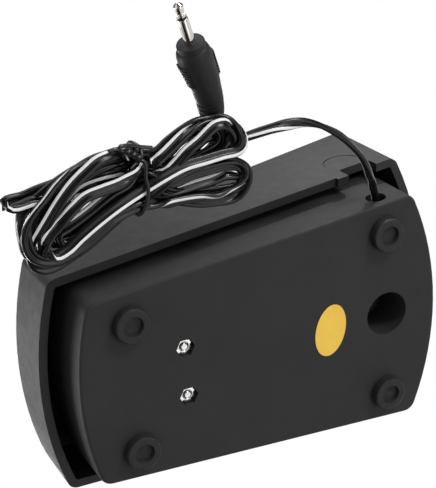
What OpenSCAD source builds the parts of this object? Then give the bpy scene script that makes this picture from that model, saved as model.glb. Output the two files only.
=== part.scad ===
// Foot pedal of a small sewing machine: a tray-shaped base on four feet, a
// skirted wedge-shaped treadle hinged to it at the narrow end, a return
// spring and a leaf switch between them, and a flat twin cord, tied in a
// hank, that ends in a 3.5 mm jack plug.  Millimetres, +Z up, X along the
// pedal with the cord end at +X, the floor at z = 0.

/* [Treadle shell] */
// Length of the treadle over its bowed ends
shell_l = 152; // [140:1:165]
// Width of the treadle at half its length
shell_w = 88.4; // [80:0.2:100]
// Angle by which each long side flares towards the cord end
side_flare = 4.5; // [2:0.1:6]
// Thickness of the treadle's skirt and roof
shell_t = 3; // [2.2:0.1:3.6]
// Radius of the bow of the hinge end
hinge_bow_r = 117; // [100:1:160]
// Radius of the bow of the cord end
cord_bow_r = 110; // [100:1:160]
// Radius of the upright corners
corner_r = 4; // [3.2:0.1:6]
// Radius that rounds the edge of the roof
roof_edge_r = 1.6; // [0.8:0.1:2]
// Height of the roof above the floor at half length
roof_z = 50; // [47:0.5:56]
// Slope of the roof
roof_slope = 7.8; // [5:0.1:9]
// Height of the skirt's rim above the floor at half length
rim_z = 19.2; // [17:0.2:22]
// Slope of the skirt's rim at rest
rim_slope = 2.6; // [1.5:0.1:3]
// Inward draft of the skirt between rim and roof
shell_draft = 0.4; // [0:0.1:1]

// Distance from the middle to each long rib under the roof
roof_rib_y = 26; // [24:0.5:32]
// Thickness of those ribs
roof_rib_t = 1.8; // [1.2:0.1:2.4]
// Height of those ribs below the roof
roof_rib_h = 5; // [3:0.5:7]
// Distance from each end of those ribs to the treadle's end
roof_rib_inset = 26; // [24:1:40]

/* [Tread grooves] */
// Number of anti-slip grooves across the roof
groove_n = 13; // [7:2:15]
// Distance from groove to groove
groove_pitch = 8.5; // [7:0.5:9]
// Width of a groove
groove_w = 3.2; // [2:0.1:4.5]
// Depth of a groove
groove_d = 0.9; // [0.4:0.1:1.2]
// Distance from the end of a groove to the side of the roof
groove_margin = 11; // [8:0.5:16]

/* [Base housing] */
// Length by which the treadle overhangs the base at the hinge end
hinge_overhang = 9; // [8:0.1:11]
// Length by which the treadle overhangs the base at the cord end
cord_overhang = 7.3; // [6.5:0.1:10]
// Width by which the treadle overhangs the base on each long side
side_overhang = 6.2; // [5.6:0.1:8]
// Wall thickness of the base tray
base_t = 2.6; // [2:0.1:3.2]
// Thickness of the base's bottom plate
plate_t = 3; // [2.6:0.1:3.6]
// Height of the base tray's top edge above the floor
base_top_z = 30; // [27:0.5:33]
// Radius that rounds the base's bottom edge
base_edge_r = 1; // [0.5:0.1:1.6]
// Height of the stiffening ribs on the bottom plate
base_rib_h = 1.5; // [1:0.1:2]
// Thickness of those ribs
base_rib_t = 1.6; // [1:0.1:2.2]
// Distance between those ribs
base_rib_pitch = 24; // [16:1:30]
// Distance from the middle of the pedal to the middle of those ribs
base_rib_x = 4; // [2:1:8]

/* [Feet] */
// Diameter of a foot
foot_d = 12; // [10:0.2:14]
// Height of a foot under the bottom plate
foot_h = 3.4; // [2.8:0.1:4]
// Diameter of the dimple in a foot
foot_dimple_d = 7; // [5:0.2:8]
// Depth of the dimple in a foot
foot_dimple_h = 1.5; // [0.8:0.1:2]
// Distance between the feet along the pedal
foot_pitch = 96; // [88:1:100]
// Distance from the middle of a foot to the base's long side
foot_inset = 10.8; // [10:0.2:14]
// Diameter of the peg that holds a foot in the plate
foot_peg_d = 4; // [3:0.1:5]

/* [Hinge] */
// Distance from the treadle's hinge end to the hinge axis
hinge_inset = 18.5; // [18:0.5:20]
// Height of the hinge axis above the floor
hinge_z = 25; // [23:0.5:27]
// Diameter of the hinge pin
hinge_pin_d = 3; // [2.5:0.1:4]
// Radial running clearance of the hinge pin in the treadle's ears
hinge_fit = 0.05; // [0.02:0.01:0.09]
// Thickness of each hinge ear
ear_t = 4; // [3:0.5:5]
// Diameter of the round end of each hinge ear
ear_d = 8; // [7:0.5:9]
// Distance from the middle to the inner face of the base's ears
ear_y = 12; // [8:1:16]
// Side clearance between neighbouring ears
ear_gap = 0.4; // [0.2:0.1:0.6]

/* [Stop well and spring] */
// Distance from the middle of the pedal to the well's axis
well_x = 48.5; // [46:0.5:52]
// Diameter of the well in the bottom plate
well_d = 16; // [14:0.5:18]
// Wall thickness of the well
well_t = 2.2; // [1.8:0.1:2.6]
// Height above the floor of the seat inside the well
well_seat_z = 19; // [17:0.5:20]
// Thickness of the well's roof
well_roof_t = 3; // [2.4:0.1:3.6]
// Diameter of the hole for the stop screw
well_hole_d = 4.6; // [4.4:0.1:5]
// Diameter of the stop screw's shank
stop_shank_d = 3; // [2.5:0.1:3.2]
// Diameter of the stop screw's head
stop_head_d = 6.4; // [5.6:0.1:7]
// Height of the stop screw's head
stop_head_h = 2.2; // [1.8:0.1:2.6]
// Diameter of the washer under the head
stop_washer_d = 9; // [7.5:0.1:10]
// Thickness of the washer
stop_washer_t = 0.8; // [0.5:0.1:1.2]
// Gap between washer and seat at rest
stop_gap = 0.1; // [0.05:0.05:0.3]
// Length of the screw's grip in the treadle's boss
stop_grip = 10; // [8:0.5:12]
// Travel room between well and boss at rest
boss_gap = 5.1; // [5:0.1:7]
// Diameter of the boss inside the spring
boss_d = 9.6; // [9:0.1:10]
// Diameter of the spring's seat on the treadle
spring_seat_d = 16; // [15:0.5:18]
// Length of the spring at rest
spring_l = 18; // [16:0.5:20]
// Mean diameter of the spring
spring_d = 13; // [12.4:0.1:13.6]
// Diameter of the spring wire
spring_wire_d = 1.2; // [1:0.1:1.4]
// Number of active turns of the spring
spring_turns = 5; // [4:1:6]

/* [Leaf switch] */
// Distance from the middle of the pedal back to the clamp screws
clamp_x = 29.3; // [27:0.1:32]
// Distance between the two clamp screws
clamp_pitch = 18; // [16:0.2:20]
// Length of the clamped stack along the pedal
clamp_l = 16; // [13:0.5:18]
// Width of the clamped stack
clamp_w = 28; // [26:0.5:32]
// Thickness of the lower insulator and of the clamp plate
insulator_t = 1.5; // [1:0.1:2]
// Thickness of the spacer between the leaves
spacer_t = 5.4; // [5.4:0.1:6.5]
// Thickness of a contact leaf
leaf_t = 0.5; // [0.4:0.1:0.7]
// Width of a contact leaf
leaf_w = 8; // [6:0.5:10]
// Length of the fixed leaf beyond the clamp
fixed_leaf_l = 36; // [34:0.5:40]
// Length of the moving leaf beyond the clamp
moving_leaf_l = 37; // [35:0.5:41]
// Length of the leaves' tails behind the clamp
leaf_tail_l = 6; // [4:0.5:9]
// Gap between the clamped root and the moving leaf
leaf_root_gap = 0.15; // [0.1:0.05:0.3]
// Distance from the clamp to the contact rivets
rivet_x = 32; // [30:0.5:33]
// Diameter of a contact rivet
rivet_d = 4; // [3:0.1:5]
// Height of a contact rivet above its leaf
rivet_h = 1; // [0.6:0.1:1.2]
// Distance from the clamp to the treadle's plunger
plunger_x = 27; // [25:0.5:28]
// Radius of the plunger's nose
plunger_r = 1.6; // [1.2:0.1:2]
// Width of the plunger
plunger_w = 7; // [5:0.5:9]
// Gap between the plunger and the moving leaf at rest
plunger_gap = 0.2; // [0.1:0.05:0.3]

/* [M3 fasteners] */
// Diameter of an M3 screw
m3_d = 3; // [2.5:0.1:3.2]
// Clearance all round an M3 screw in a plastic hole
m3_clearance = 0.2; // [0.1:0.05:0.3]
// Length of the clamp screws under the head
m3_l = 16; // [15:1:18]
// Width across flats of an M3 nut
nut_af = 5.5; // [5:0.1:6]
// Thickness of an M3 nut
nut_t = 2.4; // [1.8:0.1:2.6]
// Depth of the nut's face below the bottom plate
nut_recess = 1.5; // [1:0.1:2]
// Clearance across flats of a nut in its pocket
nut_clearance = 0.4; // [0.3:0.1:0.6]
// Length by which a screw stands out of its nut
screw_proud = 0.5; // [0:0.1:0.8]
// Diameter of a clamp screw's pan head
m3_head_d = 5.6; // [5.6:0.1:6]
// Height of a clamp screw's pan head
m3_head_h = 2; // [1.6:0.1:2.4]

/* [Cord and cord hole] */
// Width of the flat twin cord
cord_w = 3.8; // [3.2:0.1:4]
// Thickness of the flat twin cord
cord_t = 1.9; // [1.6:0.1:2]
// Diameter of the cord hole
cord_hole_d = 7; // [6:0.5:7.5]
// Height of the cord hole above the floor
cord_hole_z = 9.8; // [9.6:0.1:12]
// Distance from the middle of the pedal to the cord hole
cord_hole_x = 48.5; // [48.5:0.5:50]
// Diameter of the knot that holds the cord inside
knot_d = 8.2; // [8:0.1:8.6]
// Clearance between the knot and the housing
knot_gap = 0.3; // [0.2:0.1:0.5]
// Diameter of the inner wires
wire_d = 1.3; // [1:0.1:1.6]
// Distance from the long wall to the inner wires at the knot
wire_inset = 7; // [6.5:0.5:8]
// Further distance from that wall at the switch end
wire_drift = 5; // [4:0.5:6]
// Height of the inner wires above the bottom plate
wire_rise = 3.6; // [3:0.1:4.4]
// Width of the notch in the treadle's rim over the cord
notch_w = 12.5; // [10:0.5:14]
// Distance from the middle of the pedal to the notch
notch_x = 50.3; // [49:0.1:51]
// Height of the notch above the rim
notch_h = 5; // [3:0.5:6]
// Radius of the notch's corners
notch_r = 1.5; // [0.5:0.1:2]
// Length of the lip beside the notch
lip_l = 4.4; // [3:0.2:6]
// Depth of the lip below the rim
lip_h = 1.3; // [0.8:0.1:2]
// Radius of the ring mark over the notch
mark_r = 6.7; // [5:0.1:7.5]
// Height of the ring mark above the rim
mark_h = 9.8; // [9:0.2:12]
// Width and depth of the ring mark's groove
mark_w = 0.5; // [0.3:0.1:0.8]

/* [Hank and tie] */
// Height of the hank
hank_h = 13; // [11:0.5:14]
// Depth of the waist under the tie
waist_d = 0.9; // [0.8:0.1:1.2]
// Width of the tie along the hank
tie_w = 1.6; // [1.2:0.1:2.4]
// Half length of the lobe far from the plug
far_lobe_l = 22.5; // [20:0.5:23]
// Half width of the lobe far from the plug
far_lobe_w = 17; // [15:0.5:17.5]
// Half length of the lobe beside the plug
near_lobe_l = 18; // [16:0.5:19]
// Half width of the lobe beside the plug
near_lobe_w = 15; // [13:0.5:15.5]
// Half width of the pinched waist
waist_half = 8; // [7:0.5:9]

/* [Jack plug] */
// Diameter of the jack
jack_d = 3.5; // [2.5:0.1:3.5]
// Length of the jack
jack_l = 15; // [14:0.5:15]
// Length of the jack's tip with its waist
jack_tip_l = 5; // [4:0.1:5.5]
// Length of the jack's insulating ring
jack_ring_l = 0.8; // [0.6:0.1:1.4]
// Radial step from the sleeve down to the insulating ring and the tip
jack_step = 0.2; // [0.15:0.05:0.3]
// Diameter of the plug body's nose
plug_nose_d = 8.4; // [7.6:0.1:8.8]
// Largest diameter of the plug body
plug_d = 10.6; // [9.6:0.1:11]
// Length of the plug body
plug_l = 20; // [18:0.5:21]
// Diameter of the plug body's back end
plug_back_d = 7.8; // [7:0.1:8.4]
// Width of the plug body over its two grip flanks
plug_w = 11.6; // [11:0.1:12.6]
// Thickness of a grip flank
flank_t = 4; // [3.6:0.2:6]
// Turn of the flanks about the plug's axis
flank_turn = -20; // [-30:5:0]
// Number of grip ridges on each flank
plug_ridges = 8; // [5:1:9]
// Length of the strain relief
relief_l = 5; // [4:0.5:5]
// Diameter of the strain relief
relief_d = 7.6; // [6.6:0.1:7.8]
// Tilt of the plug, whose tip rests on the floor
plug_pitch = 14; // [12:0.1:14]
// Heading of the plug's tip
plug_yaw = -110.5; // [-114:0.5:-105]

/* [Hidden] */
$fn = 48;

slack = 0.01;                 // overlap of a cutter past the face that it cuts
flare = tan(side_flare);
roof_tan = tan(roof_slope);
rim_tan = tan(rim_slope);
plate_z = foot_h;             // underside of the bottom plate
floor_z = foot_h + plate_t;   // top of the bottom plate, inside the tray

// Half widths and heights along the pedal
function shell_half(x) = shell_w / 2 + flare * x;
function base_half(x) = shell_half(x) - side_overhang;
function roof_at(x) = roof_z + roof_tan * x;
function roof_under(x) = roof_at(x) - shell_t;
function rim_at(x) = rim_z + rim_tan * x;

hinge_x = -shell_l / 2 + hinge_inset;
foot_x = foot_pitch / 2;
well_top_z = well_seat_z + well_roof_t;
boss_z = well_top_z + boss_gap;
spring_seat_z = well_top_z + spring_l;
pocket_af = nut_af + nut_clearance;
nut_z = plate_z + nut_recess;
clamp_top_z = nut_z - screw_proud + m3_l;
clamp_plate_z = clamp_top_z - insulator_t;
leaf_root_z = clamp_plate_z - leaf_t;
spacer_z = leaf_root_z - spacer_t;
leaf_fixed_z = spacer_z - leaf_t;
insulator_z = leaf_fixed_z - insulator_t;
clamp_end_x = -clamp_x + clamp_l / 2;
tail_x = -clamp_x - clamp_l / 2 - leaf_tail_l;
moving_top_z = leaf_root_z + leaf_t;
cord_wall_y = -base_half(cord_hole_x);
knot_z = max(cord_hole_z, floor_z + knot_d / 2 + slack);
knot_y = cord_wall_y + base_t + knot_gap + knot_d / 2;

// The cord's route from the hole to the hank, laid on the floor: chosen points
lead_route = [
    [48.5, -37, 9.8], [48.5, -40.5, 9.8], [48.1, -43.5, 9.7], [47, -46, 9.2], [45.8, -49, 8.1],
    [44.2, -52, 6.5], [42, -55.7, 4.6], [39.4, -59.6, 2.7], [36.4, -63.7, 1.4], [33.3, -67.2, 1],
    [30.7, -69.7, 1], [27.7, -72.2, 1], [22.2, -76, 1], [16.7, -77.9, 1], [11.2, -78.5, 1],
    [5.8, -78.1, 1], [0.3, -77, 1], [-4, -76.5, 1]
];
// Middle of the plug's face, and a point on its axis at s from the face towards the tip
plug_face = [-19.85, -109.6, 5.15];
function plug_axis(s) =
    plug_face + s * [cos(plug_yaw) * cos(plug_pitch), sin(plug_yaw) * cos(plug_pitch), -sin(plug_pitch)];
relief_end = plug_axis(-plug_l - relief_l);
plug_lead_route = [plug_axis(1 - plug_l - relief_l), relief_end + [0.3, 1, 0],
                   relief_end + [0.5, 3, -0.7], relief_end + [0.4, 5, -1.6]];
// Middles of the hank's two lobes and waist
lobe_far = [-62.5, -64.5];
lobe_near = [-16.5, relief_end.y + near_lobe_w + 2.5];
waist = [-38.5, -70.5];

// ---------- shared shapes ----------

// Centre of the round corner between a side y = flare * x + half and an end
// arc of radius r about (mid, 0); dir is -1 at the hinge end, 1 at the cord end
function corner_mid(half, mid, r, rc, dir) =
    let (c = half - rc * sqrt(1 + flare * flare),
         a = 1 + flare * flare,
         b = 2 * (flare * c - mid),
         k = mid * mid + c * c - (r - rc) * (r - rc),
         x = (-b + dir * sqrt(b * b - 4 * a * k)) / (2 * a))
    [x, flare * x + c];

function arc(mid, r, from, to, n) =
    [for (i = [0 : n]) let (t = from + (to - from) * i / n) [mid.x + r * cos(t), mid.y + r * sin(t)]];

// Outline with two flared sides, two bowed ends and four round corners,
// counter-clockwise from the middle of the cord end
function outline(x0, x1, half, r0, r1, rc) =
    let (mid0 = x0 + r0,
         mid1 = x1 - r1,
         c0 = corner_mid(half, mid0, r0, rc, -1),
         c1 = corner_mid(half, mid1, r1, rc, 1),
         a1 = atan2(c1.y, c1.x - mid1),
         a0 = atan2(c0.y, c0.x - mid0),
         side = 90 + side_flare,
         top = concat(arc([mid1, 0], r1, 0, a1, 8),
                      arc(c1, rc, a1, side, 6),
                      arc(c0, rc, side, a0, 6),
                      arc([mid0, 0], r0, a0, 180, 8)),
         slim = [for (i = [0 : len(top) - 1]) if (i == 0 || norm(top[i] - top[i - 1]) > 0.001) top[i]])
    concat(slim, [for (i = [len(slim) - 2 : -1 : 1]) [slim[i].x, -slim[i].y]]);

function shell_outline(inset) =
    outline(-shell_l / 2 + inset, shell_l / 2 - inset, shell_w / 2 - inset * sqrt(1 + flare * flare),
            hinge_bow_r - inset, cord_bow_r - inset, max(corner_r - inset, 1));

function base_outline(inset) =
    outline(-shell_l / 2 + hinge_overhang + inset, shell_l / 2 - cord_overhang - inset,
            shell_w / 2 - side_overhang - inset * sqrt(1 + flare * flare),
            hinge_bow_r - hinge_overhang - inset, cord_bow_r - cord_overhang - inset,
            max(corner_r + 0.5 - inset, 1));

// Skin through rings of equal length, lowest first
module loft(rings) {
    n = len(rings[0]);
    points = [for (r = rings) for (p = r) p];
    sides = [for (k = [0 : len(rings) - 2]) for (i = [0 : n - 1])
        let (j = (i + 1) % n, a = k * n + i, b = k * n + n + i, c = k * n + n + j, d = k * n + j)
        each [[a, b, c], [a, c, d]]];
    bottom = [for (i = [0 : n - 1]) i];
    top = [for (i = [n - 1 : -1 : 0]) (len(rings) - 1) * n + i];
    polyhedron(points = points, faces = concat([bottom], sides, [top]));
}

function flat_ring(points, z) = [for (p = points) [p.x, p.y, z]];
function roof_ring(points, drop) = [for (p = points) [p.x, p.y, roof_at(p.x) - drop]];
function rim_ring(points, drop) = [for (p = points) [p.x, p.y, rim_at(p.x) - drop]];

// Tube of half width a and half height b swept along points
function unit(v) = v / norm(v);
function tube_ring(route, i, a, b, n) =
    let (last = len(route) - 1,
         t = unit(route[min(i + 1, last)] - route[max(i - 1, 0)]),
         s = unit(cross([0, 0, 1], t)),
         u = cross(t, s))
    [for (k = [0 : n - 1]) route[i] + s * a * cos(360 * k / n) + u * b * sin(360 * k / n)];

module tube(route, a, b, n = 8) {
    loft([for (i = [0 : len(route) - 1]) tube_ring(route, i, a, b, n)]);
}

module hexagon(af, h) {
    linear_extrude(h) circle(d = af / cos(30), $fn = 6);
}

module both_sides() {
    children();
    mirror([0, 1, 0]) children();
}

// Places a child on the roof at x, lying in the roof's plane
module on_roof(x) {
    translate([x, 0, roof_at(x)]) rotate([0, -roof_slope, 0]) children();
}

module at_clamp_screws() {
    for (side = [-1, 1]) translate([-clamp_x, side * clamp_pitch / 2, 0]) children();
}

// ---------- base ----------

// Moulded tray with a rounded bottom edge, a stop well, nut pockets, hinge
// ears, foot holes and a round hole for the cord
module base_housing() {
    color("#303032")
    difference() {
        union() {
            difference() {
                loft(concat(
                    [for (a = [90 : -30 : 0])
                        flat_ring(base_outline(base_edge_r * (1 - cos(a))), plate_z + base_edge_r * (1 - sin(a)))],
                    [flat_ring(base_outline(0), base_top_z)]));
                translate([0, 0, floor_z]) linear_extrude(base_top_z) polygon(base_outline(base_t));
            }
            translate([well_x, 0, plate_z]) cylinder(d = well_d + 2 * well_t, h = well_top_z - plate_z);
            clamp_block();
            both_sides() hinge_post();
            base_ribs();
        }
        translate([well_x, 0, plate_z - slack]) cylinder(d = well_d, h = well_seat_z - plate_z + slack);
        translate([well_x, 0, plate_z]) cylinder(d = well_hole_d, h = well_top_z);
        at_clamp_screws() {
            translate([0, 0, plate_z - slack]) hexagon(pocket_af, nut_recess + nut_t + slack);
            translate([0, 0, plate_z]) cylinder(d = m3_d + 2 * m3_clearance, h = insulator_z);
        }
        at_feet() translate([0, 0, plate_z - slack]) cylinder(d = foot_peg_d, h = plate_t + 2 * slack);
        translate([cord_hole_x, cord_wall_y + base_t + 1, cord_hole_z])
            rotate([90, 0, 0]) cylinder(d = cord_hole_d, h = base_t + 4);
    }
}

// Pad that carries the switch and holds its nuts
module clamp_block() {
    translate([-clamp_x - clamp_l / 2, -clamp_w / 2, plate_z])
        cube([clamp_l, clamp_w, insulator_z - plate_z]);
}

// Ear of the base, with a round top round the press-fit pin
module hinge_post() {
    difference() {
        translate([hinge_x, ear_y + ear_t, 0]) rotate([90, 0, 0]) linear_extrude(ear_t) {
            translate([0, hinge_z]) circle(d = ear_d);
            translate([-ear_d / 2, floor_z - plate_t / 2]) square([ear_d, hinge_z - floor_z + plate_t / 2]);
        }
        translate([hinge_x, ear_y + ear_t + 1, hinge_z])
            rotate([90, 0, 0]) cylinder(d = hinge_pin_d, h = ear_t + 2);
    }
}

// Low ribs across the bottom plate, stopping short of the well
module base_ribs() {
    for (side = [-1, 1]) {
        x = base_rib_x + side * base_rib_pitch / 2;
        translate([x - base_rib_t / 2, -base_half(x) + base_t / 2, floor_z - plate_t / 2])
            cube([base_rib_t, 2 * base_half(x) - base_t, base_rib_h + plate_t / 2]);
    }
}

module at_feet() {
    for (x = [-foot_x, foot_x]) for (side = [-1, 1])
        translate([x, side * (base_half(x) - foot_inset), 0]) children();
}

// Rubber foot with a dimple below and a peg above
module foot(x, side) {
    round_r = 0.5;
    translate([x, side * (base_half(x) - foot_inset), 0]) color("#3a3a3c")
    rotate_extrude() polygon([
        [0, foot_dimple_h], [foot_dimple_d / 2 - 0.4, foot_dimple_h], [foot_dimple_d / 2, 0],
        [foot_d / 2 - round_r, 0], [foot_d / 2 - 0.15, 0.15], [foot_d / 2, round_r],
        [foot_d / 2, foot_h], [foot_peg_d / 2, foot_h], [foot_peg_d / 2, foot_h + plate_t],
        [0, foot_h + plate_t]]);
}

// ---------- treadle ----------

// Skirted wedge-shaped shell with tread grooves, rim notch for the cord,
// hinge ears, plunger and spring boss
module treadle_shell() {
    color("#38383a")
    difference() {
        union() {
            difference() {
                shell_body();
                rim_cut();
                notch_cut();
                ring_mark();
            }
            both_sides() hinge_ear();
            both_sides() roof_rib();
            boss();
            plunger();
        }
        translate([well_x, 0, boss_z - slack]) cylinder(d = stop_shank_d, h = stop_grip + slack);
        grooves();
    }
}

module shell_body() {
    low = lip_h + 2;
    difference() {
        loft(concat(
            [rim_ring(shell_outline(0), low)],
            [for (a = [0 : 30 : 90])
                roof_ring(shell_outline(shell_draft + roof_edge_r * (1 - cos(a))), roof_edge_r * (1 - sin(a)))]));
        loft([rim_ring(shell_outline(shell_t), low + 1),
              roof_ring(shell_outline(shell_t + shell_draft), shell_t)]);
    }
}

// Everything below the sloping rim, except the lip beside the notch
module rim_cut() {
    lip_x = notch_x - notch_w / 2 - lip_l;
    difference() {
        rotate([90, 0, 0]) linear_extrude(shell_w * 2, center = true) polygon([
            [-shell_l, rim_at(-shell_l)], [shell_l, rim_at(shell_l)], [shell_l, -roof_z], [-shell_l, -roof_z]]);
        rotate([90, 0, 0]) linear_extrude(shell_w) polygon([
            [lip_x, rim_at(lip_x) - lip_h], [notch_x, rim_at(notch_x) - lip_h],
            [notch_x, roof_z], [lip_x, roof_z]]);
    }
}

// Opening with round upper corners over the cord
module notch_cut() {
    y = -shell_half(notch_x);
    half = notch_w / 2 - notch_r;
    translate([notch_x, y + shell_t + 2, rim_at(notch_x)]) rotate([0, -rim_slope, 0])
    rotate([90, 0, 0]) linear_extrude(shell_t + 6) {
        for (s = [-1, 1]) translate([s * half, notch_h - notch_r]) circle(r = notch_r);
        translate([-half, -2 * notch_h]) square([2 * half, 3 * notch_h]);
        translate([-notch_w / 2, -2 * notch_h]) square([notch_w, 3 * notch_h - notch_r]);
    }
}

// Shallow ring moulded in the skirt over the notch, its lower half left out
module ring_mark() {
    y = -shell_half(well_x);
    z = rim_at(well_x) + mark_h;
    intersection() {
        translate([well_x, y, z]) rotate([0, 0, -side_flare]) rotate([90, 0, 0])
            rotate_extrude() translate([mark_r - mark_w / 2, -2]) square([mark_w, 4]);
        translate([well_x - 2 * mark_r, y - 2, z + mark_r / 5]) cube([4 * mark_r, 2 + 2 * mark_w, 2 * mark_r]);
        translate([well_x, y + mark_w, z]) rotate([0, 0, -side_flare]) rotate([90, 0, 0])
            cylinder(r = 2 * mark_r, h = 6);
    }
}

// Ear that hangs from the roof outside the base's ear and runs on the pin
module hinge_ear() {
    y = ear_y + ear_t + ear_gap;
    difference() {
        translate([hinge_x, y + ear_t, 0]) rotate([90, 0, 0]) linear_extrude(ear_t) {
            translate([0, hinge_z]) circle(d = ear_d);
            translate([-ear_d / 2, hinge_z]) square([ear_d, roof_under(hinge_x) + shell_t / 2 - hinge_z]);
        }
        translate([hinge_x, y + ear_t + 1, hinge_z])
            rotate([90, 0, 0]) cylinder(r = hinge_pin_d / 2 + hinge_fit, h = ear_t + 2);
    }
}

// Long stiffening rib under the roof
module roof_rib() {
    x0 = -shell_l / 2 + roof_rib_inset;
    x1 = shell_l / 2 - roof_rib_inset;
    translate([0, roof_rib_y, 0]) rotate([90, 0, 0]) linear_extrude(roof_rib_t) polygon([
        [x0, roof_under(x0) - roof_rib_h], [x1, roof_under(x1) - roof_rib_h],
        [x1, roof_under(x1) + shell_t / 2], [x0, roof_under(x0) + shell_t / 2]]);
}

// Stepped boss: the slim end guides the spring and takes the stop screw
module boss() {
    translate([well_x, 0, boss_z])
        cylinder(d = boss_d, h = roof_under(well_x) + shell_t / 3 - boss_z);
    translate([well_x, 0, spring_seat_z])
        cylinder(d = spring_seat_d, h = roof_under(well_x) - spring_seat_z);
}

// Web from the roof down to the moving leaf, with a round nose
module plunger() {
    x = clamp_end_x + plunger_x;
    z = moving_top_z + plunger_gap + plunger_r;
    translate([x, plunger_w / 2, 0]) rotate([90, 0, 0]) linear_extrude(plunger_w) {
        translate([0, z]) circle(r = plunger_r);
        polygon([[-plunger_r, z], [plunger_r, z],
                 [2 * plunger_r, roof_under(x) + shell_t / 2], [-2 * plunger_r, roof_under(x) + shell_t / 2]]);
    }
}

// Round-ended grooves across the roof, square to it
module grooves() {
    for (i = [0 : groove_n - 1]) {
        x = (i - (groove_n - 1) / 2) * groove_pitch;
        reach = shell_half(x) - groove_margin - groove_w / 2;
        on_roof(x) {
            translate([-groove_w / 2, -reach, -groove_d]) cube([groove_w, 2 * reach, 2 * groove_d]);
            for (s = [-1, 1]) translate([0, s * reach, -groove_d]) cylinder(d = groove_w, h = 2 * groove_d);
        }
    }
}

// ---------- hinge, stop and spring ----------

// Steel pin through all four ears, with a flat head
module hinge_pin() {
    reach = ear_y + 2 * ear_t + ear_gap;
    head_t = 1;
    color("#b9bcc0") translate([hinge_x, reach + ear_gap, hinge_z]) rotate([90, 0, 0]) {
        cylinder(d = hinge_pin_d, h = 2 * reach + 2 * ear_gap + head_t);
        translate([0, 0, -head_t]) cylinder(d = hinge_pin_d + 2, h = head_t);
    }
}

// Compression spring with a closed turn at each end
module return_spring() {
    steps = 14;
    ends = 1;
    turns = spring_turns + 2 * ends;
    r = spring_d / 2;
    wr = spring_wire_d / 2;
    route = [for (i = [0 : turns * steps])
        let (t = i / steps,
             low = min(t, ends),
             mid = min(max(t - ends, 0), spring_turns),
             high = max(t - ends - spring_turns, 0),
             z = well_top_z + wr + low * spring_wire_d + high * spring_wire_d
                 + mid * (spring_l - spring_wire_d * (1 + 2 * ends)) / spring_turns)
        [well_x + r * cos(360 * t), r * sin(360 * t), z]];
    color("#c4c6c8") tube(route, wr, wr, 6);
}

// Cross-recessed screw that holds the treadle down on its spring
module stop_screw() {
    z = well_seat_z - stop_gap - stop_washer_t;
    color("#d0d2d4") translate([well_x, 0, 0]) difference() {
        union() {
            translate([0, 0, z]) cylinder(d = stop_shank_d, h = boss_z + stop_grip - z);
            translate([0, 0, z - stop_head_h]) cylinder(d = stop_head_d, h = stop_head_h);
        }
        for (a = [0, 90]) rotate([0, 0, a])
            translate([-stop_head_d / 3, -0.4, z - stop_head_h - slack]) cube([stop_head_d / 1.5, 0.8, 1]);
    }
}

module stop_washer() {
    color("#c8cacc") translate([well_x, 0, well_seat_z - stop_gap - stop_washer_t]) difference() {
        cylinder(d = stop_washer_d, h = stop_washer_t);
        translate([0, 0, -slack]) cylinder(d = stop_shank_d, h = stop_washer_t + 2 * slack);
    }
}

// ---------- leaf switch ----------

// Plate of the clamped stack, with a hole for each screw
module stack_plate(z, t, hole_d) {
    translate([0, 0, z]) difference() {
        translate([-clamp_x - clamp_l / 2, -clamp_w / 2, 0]) cube([clamp_l, clamp_w, t]);
        at_clamp_screws() translate([0, 0, -slack]) cylinder(d = hole_d, h = t + 2 * slack);
    }
}

module insulator_lower() {
    color("#8a5a34") stack_plate(insulator_z, insulator_t, m3_d + 2 * m3_clearance);
}

module insulator_spacer() {
    color("#8a5a34") stack_plate(spacer_z, spacer_t, m3_d + 2 * m3_clearance);
}

module clamp_plate() {
    color("#8a5a34") stack_plate(clamp_plate_z, insulator_t, m3_d + 2 * m3_clearance);
}

// Sprung brass strip under the spacer, with the fixed contact at its end
module leaf_fixed() {
    color("#c8a24a") union() {
        stack_plate(leaf_fixed_z, leaf_t, m3_d + 1);
        leaf_arm(clamp_end_x - 1, clamp_end_x + fixed_leaf_l, leaf_fixed_z);
        leaf_tail(leaf_fixed_z);
    }
}

// Clamped root of the moving leaf, with its solder tail
module leaf_root() {
    color("#c8a24a") union() {
        stack_plate(leaf_root_z, leaf_t, m3_d + 1);
        leaf_tail(leaf_root_z);
    }
}

// Free length of the moving leaf: it bends at the clamp's edge
module leaf_moving() {
    color("#c8a24a") leaf_arm(clamp_end_x + leaf_root_gap, clamp_end_x + moving_leaf_l, leaf_root_z);
}

// Strip of leaf with a round end
module leaf_arm(x0, x1, z) {
    translate([0, 0, z]) linear_extrude(leaf_t) {
        translate([x0, -leaf_w / 2]) square([x1 - leaf_w / 2 - x0, leaf_w]);
        translate([x1 - leaf_w / 2, 0]) circle(d = leaf_w);
    }
}

module leaf_tail(z) {
    translate([tail_x, -leaf_w / 2, z]) cube([leaf_tail_l + 1, leaf_w / 2, leaf_t]);
}

module rivet_fixed() {
    color("#e0e0e0") translate([clamp_end_x + rivet_x, 0, leaf_fixed_z + leaf_t])
        cylinder(d = rivet_d, h = rivet_h);
}

module rivet_moving() {
    color("#e0e0e0") translate([clamp_end_x + rivet_x, 0, leaf_root_z - rivet_h])
        cylinder(d = rivet_d, h = rivet_h);
}

// M3 pan-head screw from above, ending in the nut
module clamp_screw(side) {
    color("#d6d8da") translate([-clamp_x, side * clamp_pitch / 2, clamp_top_z - m3_l]) {
        cylinder(d = m3_d, h = m3_l);
        translate([0, 0, m3_l]) cylinder(d = m3_head_d, h = m3_head_h);
    }
}

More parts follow.
